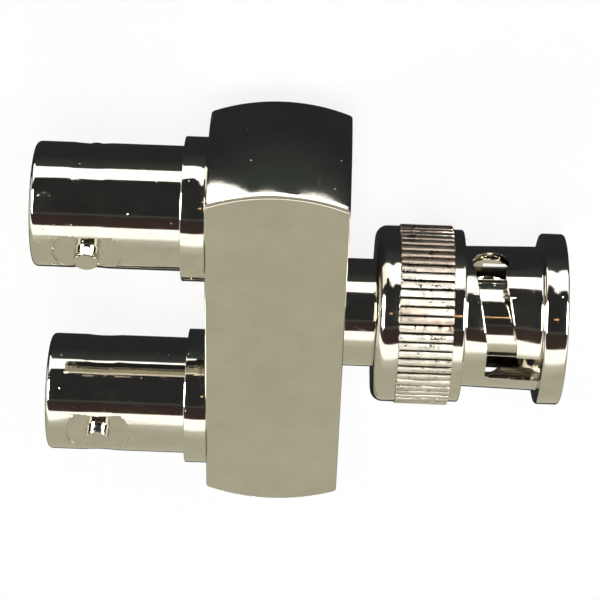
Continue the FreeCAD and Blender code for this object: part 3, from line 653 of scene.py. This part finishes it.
def make_jack(name):
    """Outer contact of a jack with its studs, its insulator and its centre contact."""
    low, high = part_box(name + "_insulator")
    row = (low[1] + high[1]) / 2
    block_face = BLOCK_LOW.x
    flange_front = block_face - JACK_FLANGE_WIDTH
    mouth = arc((JACK_MOUTH + JACK_MOUTH_ROUND, JACK_RADIUS - JACK_MOUTH_ROUND), JACK_MOUTH_ROUND, 180, 90, 8)
    shell = lathe(name + "_barrel", [
        (JACK_FLOOR, JACK_BORE),
        (JACK_MOUTH + JACK_MOUTH_BEVEL, JACK_BORE),
        (JACK_MOUTH, JACK_BORE + JACK_MOUTH_BEVEL),
    ] + mouth + jack_waist() + [
        (flange_front, JACK_RADIUS),
        (flange_front, JACK_FLANGE_RADIUS),
        (block_face, JACK_FLANGE_RADIUS),
        (block_face, SPIGOT_RADIUS),
        (SPIGOT_END, SPIGOT_RADIUS),
        (SPIGOT_END, NOSE_FLANGE_RADIUS + SEAT_GAP),
        (JACK_STEP, NOSE_FLANGE_RADIUS + SEAT_GAP),
        (JACK_STEP, NOSE_RADIUS + SEAT_GAP),
        (JACK_FLOOR, NOSE_RADIUS + SEAT_GAP),
    ])
    soften(shell, 0.09 * MM)
    for side in (1, -1):
        level = side * STUD_SEAT_LEVEL
        seat = rod("seat_tool", STUD_SEAT_RADIUS, (STUD_LINE, 0, level), (STUD_LINE, 0, 2 * level), 96)
        combine(shell, seat, "DIFFERENCE")
        root = level - side * 0.2 * MM
        stud = rod("stud", STUD_RADIUS, (STUD_LINE, 0, root), (STUD_LINE, 0, side * STUD_END))
        soften(stud, 0.14 * MM)
        combine(shell, stud, "UNION")
    soften(shell, 0.08 * MM, angle=40, clamp=False)
    shell.rotation_euler = (STUD_TURNS[name], 0, 0)
    shell.location = (0, row, 0)
    settle(shell)
    finish_piece(shell, name + "_shell", "adapter", BARREL_NICKEL, 21)
    make_jack_core(name, row)


def make_jack_core(name, row):
    """White nose and slit gilt contact inside a jack."""
    nose_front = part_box(name + "_insulator")[0][0]
    contact_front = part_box(name + "_contact")[0][0]
    contact_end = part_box(name + "_contact")[1][0]
    contact_step = contact_front + 6.0 * MM
    contact_radius = 1.05 * MM
    nose_bore = 1.08 * MM
    tail_bore = CONTACT_TAIL_RADIUS + 2 * SEAT_GAP
    nose = lathe(name + "_nose", [
        (nose_front, nose_bore),
        (nose_front, NOSE_RADIUS),
        (JACK_STEP, NOSE_RADIUS),
        (JACK_STEP, NOSE_FLANGE_RADIUS),
        (SPIGOT_END, NOSE_FLANGE_RADIUS),
        (SPIGOT_END, tail_bore),
        (contact_step + 2 * SEAT_GAP, tail_bore),
        (contact_step + 2 * SEAT_GAP, nose_bore),
    ], row, 96)
    soften(nose, 0.1 * MM)
    finish_piece(nose, name + "_insulator", "adapter", WHITE)
    bore = 0.7 * MM
    bevel = 0.14 * MM
    socket = lathe(name + "_socket", [
        (contact_front, bore + bevel),
        (contact_front, 0.93 * MM),
        (contact_front + 0.12 * MM, contact_radius),
        (contact_step, contact_radius),
        (contact_step, CONTACT_TAIL_RADIUS),
        (contact_end, CONTACT_TAIL_RADIUS),
        (contact_end, 0),
        (contact_front + 4.5 * MM, 0),
        (contact_front + 4.5 * MM, bore),
        (contact_front + bevel, bore),
    ], row, 96)
    half = 0.125 * MM
    slit = bar("slit_tool", (contact_front - MM, row - half, -2 * MM),
               (contact_front + 3.4 * MM, row + half, 2 * MM))
    combine(socket, slit, "DIFFERENCE")
    finish_piece(socket, name + "_contact", "adapter", GILT)


def make_plug():
    """Neck, slotted sleeve, insulator, pin and gasket of the plug."""
    flange_back = PLUG_FLANGE_FRONT - MM
    flange_radius = 4.9 * MM
    neck_bore = 2.5 * MM
    sleeve_radius, sleeve_bore = 4.0 * MM, 3.26 * MM
    sleeve_back, sleeve_front = (corner[0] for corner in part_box("plug_outer_contact"))
    finger_root = sleeve_front - 5.2 * MM
    neck = lathe("plug_neck", [
        (NECK_END, neck_bore),
        (NECK_END, NECK_RADIUS),
        (flange_back, NECK_RADIUS),
        (flange_back, flange_radius),
        (PLUG_FLANGE_FRONT, flange_radius),
        (PLUG_FLANGE_FRONT, sleeve_radius + SEAT_GAP),
        (sleeve_back, sleeve_radius + SEAT_GAP),
        (sleeve_back, neck_bore),
    ])
    soften(neck, 0.08 * MM)
    finish_piece(neck, "plug_body", "adapter", BARREL_NICKEL)
    sleeve = lathe("plug_sleeve", [
        (sleeve_back, sleeve_bore),
        (sleeve_back, sleeve_radius),
        (finger_root, sleeve_radius),
        (sleeve_front - 1.3 * MM, 4.06 * MM),
        (sleeve_front - 0.25 * MM, 3.94 * MM),
        (sleeve_front, 3.75 * MM),
        (sleeve_front, sleeve_bore),
    ], steps=192)
    narrow, wide = 0.175 * MM, 6 * MM
    for across, upward in ((narrow, wide), (wide, narrow)):
        slit = bar("slit_tool", (finger_root, -across, -upward), (sleeve_front + MM, across, upward))
        combine(sleeve, slit, "DIFFERENCE")
    soften(sleeve, 0.04 * MM, segments=2, angle=40, clamp=False)
    finish_piece(sleeve, "plug_outer_contact", "adapter", SLEEVE_NICKEL)
    make_plug_core(sleeve_back, finger_root, sleeve_bore)
    low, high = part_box("plug_gasket")
    gasket = lathe("gasket", [
        (low[0], sleeve_radius + SEAT_GAP),
        (low[0], high[2]),
        (high[0], high[2]),
        (high[0], sleeve_radius + SEAT_GAP),
    ], steps=128)
    soften(gasket, 0.15 * MM)
    finish_piece(gasket, "plug_gasket", "adapter", SILICONE)


def make_plug_core(sleeve_back, finger_root, sleeve_bore):
    """White insulator and gilt pin of the plug. The pin leaves the insulator at the origin."""
    core_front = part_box("plug_insulator")[1][0]
    core_radius = sleeve_bore - SEAT_GAP
    nose_radius, nose_bore = 3.0 * MM, 2.45 * MM
    collar_radius = 1.05 * MM
    core = lathe("plug_core", [
        (sleeve_back, collar_radius + SEAT_GAP),
        (sleeve_back, core_radius),
        (finger_root, core_radius),
        (finger_root, nose_radius),
        (core_front, nose_radius),
        (core_front, nose_bore),
        (0, nose_bore),
        (0, collar_radius + SEAT_GAP),
    ], steps=128)
    soften(core, 0.08 * MM)
    finish_piece(core, "plug_insulator", "adapter", WHITE)
    pin_back, pin_front = (corner[0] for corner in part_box("plug_pin"))
    pin_radius = 0.685 * MM
    head_radius = 1.2 * MM
    head_back = sleeve_back - 0.8 * MM
    pin = lathe("centre_pin", [
        (pin_back, 0),
        (pin_back, CONTACT_TAIL_RADIUS),
        (head_back, CONTACT_TAIL_RADIUS),
        (head_back, head_radius),
        (sleeve_back, head_radius),
        (sleeve_back, collar_radius),
        (0, collar_radius),
        (0, pin_radius),
        (pin_front - 0.55 * MM, pin_radius),
        (pin_front, 0.35 * MM),
        (pin_front, 0),
    ], steps=96)
    soften(pin, 0.05 * MM, angle=25)
    finish_piece(pin, "plug_pin", "adapter", GILT)


def make_wave_spring():
    """Wave washer, drawn in its free wavy shape; the real one goes flat as the nut slides forward."""
    low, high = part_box("wave_washer")
    sheet, margin, waves = 0.2 * MM, 0.1 * MM, 3
    swing = (high[0] - low[0] - sheet) / 2
    inner, outer = NECK_RADIUS + margin, NUT_BORE - margin
    spring = lathe("wave_spring", [
        (low[0], inner),
        (low[0], outer),
        (low[0] + sheet, outer),
        (low[0] + sheet, inner),
    ], steps=144)
    soften(spring, 0.03 * MM)
    for vertex in spring.data.vertices:
        turn = math.atan2(vertex.co.z, vertex.co.y)
        vertex.co.x += swing * (1 + math.cos(waves * turn))
    finish_piece(spring, "wave_washer", "adapter", SPRING_STEEL)
    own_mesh(spring)


def make_knurl():
    """Ring of the knurl: crowned teeth, each worn and leaning a little by its own amount."""
    edge = 0.07 * MM
    inner = KNURL_RADIUS - 0.6 * MM
    spots = KNURL_TEETH * len(TOOTH_DROPS)
    middle = len(TOOTH_DROPS) // 2
    ring = lathe("knurl_ring", [
        (KNURL_BACK, inner),
        (KNURL_BACK, KNURL_RADIUS - edge),
        (KNURL_BACK + edge, KNURL_RADIUS),
        (KNURL_FRONT - edge, KNURL_RADIUS),
        (KNURL_FRONT, KNURL_RADIUS - edge),
        (KNURL_FRONT, inner),
    ], steps=spots)
    for vertex in ring.data.vertices:
        radius = math.hypot(vertex.co.y, vertex.co.z)
        if radius > inner + edge:
            turn = math.atan2(vertex.co.y, vertex.co.z) % (2 * math.pi)
            tooth, spot = divmod(round(turn / (2 * math.pi) * spots) % spots, len(TOOTH_DROPS))
            wear = 0.012 * MM * (1 + math.sin(2.4 * tooth))
            lean = 0.03 * MM * math.sin(5.1 * tooth) * (spot - middle) / middle
            share = 1 - max(0, TOOTH_DROPS[spot] * MM + wear + lean) / radius
            vertex.co.y *= share
            vertex.co.z *= share
    ring.data.materials.append(KNURL_NICKEL)
    return ring


def make_cam_tool(turned_over):
    """Tool for a cam slot: level at the entry, then a ramp, then level up to the detent."""
    deselect()
    bpy.ops.mesh.primitive_plane_add(size=1, location=(0, 0, 0), rotation=(math.pi / 2, 0, 0))
    tool = bpy.context.active_object
    tool.scale = (2 * CAM_HALF, SLOT_TOOL_OUTER - SLOT_TOOL_INNER, 1)
    tool.location = (CAM_START, 0, (SLOT_TOOL_INNER + SLOT_TOOL_OUTER) / 2)
    settle(tool)
    edit(tool)
    bpy.ops.mesh.select_all(action="SELECT")
    steps = 16
    for turn, rise in (
            (CAM_LEAD, 0.0), (CAM_TURN - CAM_LEAD, CAM_LINE - CAM_START), (DETENT_TURN - CAM_TURN, 0.0)):
        for step in range(steps):
            bpy.ops.mesh.extrude_region_move(TRANSFORM_OT_translate={"value": (rise / steps, 0, 0)})
            bpy.ops.transform.rotate(value=turn / steps, orient_axis="X", center_override=(0, 0, 0))
    bpy.ops.mesh.select_all(action="SELECT")
    bpy.ops.mesh.normals_make_consistent(inside=False)
    bpy.ops.object.mode_set(mode="OBJECT")
    if turned_over:
        tool.rotation_euler = (math.pi, 0, 0)
    return settle(tool)


def make_nut():
    """Coupling nut: rounded shoulder, knurl, collar, slotted barrel and front rim."""
    shoulder = arc((NUT_BACK + SHOULDER_ROUND, SHOULDER_RADIUS - SHOULDER_ROUND), SHOULDER_ROUND, 180, 90, 10)
    lip = NUT_BACK + 1.2 * MM
    # Softened edges bulge a little, so the front stands back to stay inside the CAD box.
    front = NUT_FRONT - 0.04 * MM
    bevel = 0.2 * MM
    nut = lathe("nut_grip", [(NUT_BACK, NUT_REAR_BORE)] + shoulder + [
        (KNURL_BACK, SHOULDER_RADIUS),
        (KNURL_BACK + 0.3 * MM, COLLAR_RADIUS),
        (COLLAR_FRONT, COLLAR_RADIUS),
        (COLLAR_FRONT, BARREL_REAR),
        (RIM_BACK, BARREL_FRONT),
        (RIM_BACK, RIM_RADIUS),
        (front, RIM_RADIUS),
        (front, NUT_BORE + bevel),
        (front - bevel, NUT_BORE),
        (lip, NUT_BORE),
        (lip, NUT_REAR_BORE),
    ])
    soften(nut, 0.2 * MM, angle=50)
    half = ENTRY_WIDTH / 2
    for end, reach in ((NUT_FRONT + MM, CHANNEL_RADIUS), (RIM_BACK, KNURL_RADIUS)):
        entry = bar("entry_tool", (ENTRY_END, -half, -reach), (end, half, reach))
        combine(nut, entry, "DIFFERENCE")
    for turned_over in (False, True):
        combine(nut, make_cam_tool(turned_over), "DIFFERENCE")
        side = -1 if turned_over else 1
        way = Vector((0, side * math.sin(DETENT_TURN), side * math.cos(DETENT_TURN)))
        place = Vector((CAM_LINE, 0, 0))
        detent = rod("detent_tool", DETENT_RADIUS,
                     place + way * SLOT_TOOL_INNER, place + way * SLOT_TOOL_OUTER)
        combine(nut, detent, "DIFFERENCE")
    soften(nut, 0.035 * MM, segments=2, angle=40, clamp=False)
    nut.data.materials.append(NUT_NICKEL)
    knurl = make_knurl()
    focus(nut)
    knurl.select_set(True)
    bpy.ops.object.join()
    finish_piece(nut, "coupling_nut", "nut", NUT_NICKEL)


def dress_hidden_nodes():
    """Finishes of the CAD nodes that stay as they are."""
    finishes = {
        "centre_bus": BRASS,
        "bus_insulator": WHITE,
        "upper_jack_rear_insulator": WHITE,
        "lower_jack_rear_insulator": WHITE,
        "plug_rear_insulator": WHITE,
        "thrust_washer": SPRING_STEEL,
    }
    for node, material in finishes.items():
        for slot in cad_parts[node].material_slots:
            slot.material = material


# Studio

def emission(tree, colour, strength):
    return add(tree, "ShaderNodeEmission", {"Color": colour, "Strength": strength}).outputs[0]


def mix(tree, share, first, second):
    """Shader between two shaders."""
    return add(tree, "ShaderNodeMixShader", {0: share, 1: first, 2: second}).outputs[0]


def turn_share(degrees):
    """Place on the tent's colour ramp of an angle round the tent."""
    return (degrees + 180) / 360


def tent_light(tree):
    """What the tent shows: bands all round, a box at each end, a warm line and a high box."""
    place = tree.nodes.new("ShaderNodeTexCoord").outputs["Object"]
    place = add(tree, "ShaderNodeSeparateXYZ", {"Vector": place}).outputs
    turn = calc(tree, "ARCTAN2", place["Y"], place["Z"])
    share = remap(tree, turn, -math.pi, math.pi)
    bands = ramp(tree, share, [(turn_share(degrees), colour) for degrees, colour in TENT_BANDS])
    along = remap(tree, place["X"], -TENT_LENGTH, TENT_LENGTH)
    shape = ramp(tree, along, [
        ((x / TENT_LENGTH + 1) / 2, (turn_share(upper), turn_share(lower), strength))
        for x, upper, lower, strength in HIGH_BOX])
    edges = add(tree, "ShaderNodeSeparateColor", {"Color": shape}).outputs
    below = remap(tree, calc(tree, "SUBTRACT", edges[0], share), -HIGH_BOX_BLUR, HIGH_BOX_BLUR)
    above = remap(tree, calc(tree, "SUBTRACT", share, edges[1]), -HIGH_BOX_BLUR, HIGH_BOX_BLUR)
    high_box = calc(tree, "MULTIPLY", below, above)
    high_power = calc(tree, "MULTIPLY", edges[2], HIGH_BOX_GLOW)

    def box(line, along, round_tent):
        middle, reach = (math.radians(degrees) for degrees in round_tent)
        return calc(tree, "MULTIPLY", calc(tree, "COMPARE", line, *along),
                    calc(tree, "COMPARE", turn, middle, reach))

    end_box = box(calc(tree, "ABSOLUTE", place["X"]), END_BOX_ALONG, END_BOX_ROUND)
    warm_line = box(place["X"], WARM_LINE_ALONG, WARM_LINE_ROUND)
    warm_power = remap(tree, noise_along(tree, place["X"], 260.0), 0.4, 0.6, 0.6, 3.4)
    glow = emission(tree, bands, TENT_GLOW)
    glow = mix(tree, end_box, glow, emission(tree, (1.0, 0.98, 0.93, 1), END_BOX_GLOW))
    glow = mix(tree, warm_line, glow, emission(tree, (1.0, 0.6, 0.26, 1), warm_power))
    return mix(tree, high_box, glow, emission(tree, (1.0, 1.0, 0.98, 1), high_power))


def make_tent():
    """Light tent round the X axis that only the metal shows."""
    deselect()
    bpy.ops.mesh.primitive_cylinder_add(
        vertices=64, radius=TENT_RADIUS, depth=2 * TENT_LENGTH, end_fill_type="NOTHING",
        location=(0, 0, 0), rotation=(0, math.pi / 2, 0))
    tent = settle(bpy.context.active_object)
    tent.name = "light_tent"
    for ray in ("camera", "diffuse", "transmission", "shadow"):
        setattr(tent, "visible_" + ray, False)
    material = bpy.data.materials.new("light_tent")
    material.use_nodes = True
    tree = material.node_tree
    tree.nodes.clear()
    output = tree.nodes.new("ShaderNodeOutputMaterial")
    tree.links.new(tent_light(tree), output.inputs["Surface"])
    tent.data.materials.append(material)


def make_floor():
    """Plain pale floor that looks nearly white and keeps a light shadow."""
    deselect()
    bpy.ops.mesh.primitive_plane_add(size=4, location=(0, 0, FLOOR_LEVEL))
    floor = bpy.context.active_object
    floor.name = "floor"
    floor.visible_glossy = False
    material, tree, surface = new_material("pale_floor", 0.0, 0.1)[:3]
    surface["Base Color"].default_value = (0.93, 0.93, 0.93, 1)
    surface["Roughness"].default_value = 0.9
    ray = tree.nodes.new("ShaderNodeLightPath").outputs
    seen = calc(tree, "ADD", ray["Is Camera Ray"], ray["Is Glossy Ray"])
    seen = calc(tree, "ADD", seen, ray["Is Transmission Ray"], clamp=True)
    shown = mix(tree, calc(tree, "MULTIPLY", seen, FLOOR_GLOW),
                tree.nodes["Principled BSDF"].outputs[0], emission(tree, (1, 1, 1, 1), 1.0))
    tree.links.new(shown, tree.nodes["Material Output"].inputs["Surface"])
    floor.data.materials.append(material)


def make_world():
    """Plain white surroundings."""
    world = bpy.data.worlds.new("studio")
    bpy.context.scene.world = world
    world.use_nodes = True
    background = world.node_tree.nodes["Background"]
    background.inputs["Color"].default_value = (1, 1, 1, 1)
    background.inputs["Strength"].default_value = 0.9


def make_key_lamp():
    """Soft lamp in front of the part, which its reflections don't show."""
    target = Vector((BLOCK_MIDDLE, 0, 0))
    data = bpy.data.lights.new("key_lamp", "AREA")
    data.shape = "SQUARE"
    data.size = 0.16
    data.energy = 0.6
    lamp = bpy.data.objects.new("key_lamp", data)
    bpy.context.scene.collection.objects.link(lamp)
    lamp.location = (BLOCK_MIDDLE, -0.40, 0.30)
    lamp.rotation_euler = (lamp.location - target).to_track_quat("Z", "Y").to_euler()
    lamp.visible_glossy = False


def make_camera():
    """Camera of the photograph, above the upper jack's side, rolled over."""
    data = bpy.data.cameras.new("camera")
    data.lens = LENS
    data.sensor_width = SENSOR_WIDTH
    data.clip_start = 0.01
    camera = bpy.data.objects.new("camera", data)
    bpy.context.scene.collection.objects.link(camera)
    lift, swing, roll = CAMERA_LIFT, CAMERA_SWING, CAMERA_ROLL
    back = Vector((math.sin(swing) * math.cos(lift), math.sin(lift), math.cos(swing) * math.cos(lift)))
    right = Vector((math.cos(swing), 0, -math.sin(swing)))
    up = back.cross(right)
    place = back * CAMERA_DISTANCE + right * CAMERA_ASIDE + up * CAMERA_ABOVE
    place.x += BLOCK_MIDDLE - BLOCK_IN_VIEW
    across = right * math.cos(roll) + up * math.sin(roll)
    upward = up * math.cos(roll) - right * math.sin(roll)
    turn = Matrix((across, upward, back)).transposed()
    camera.matrix_world = Matrix.Translation(place) @ turn.to_4x4()
    bpy.context.scene.camera = camera


make_camera()
make_world()
make_floor()
make_tent()
make_key_lamp()
make_block()
make_cross_plug()
for jack in STUD_TURNS:
    make_jack(jack)
make_plug()
make_wave_spring()
make_nut()
dress_hidden_nodes()

bpy.context.scene.view_settings.view_transform = "Standard"
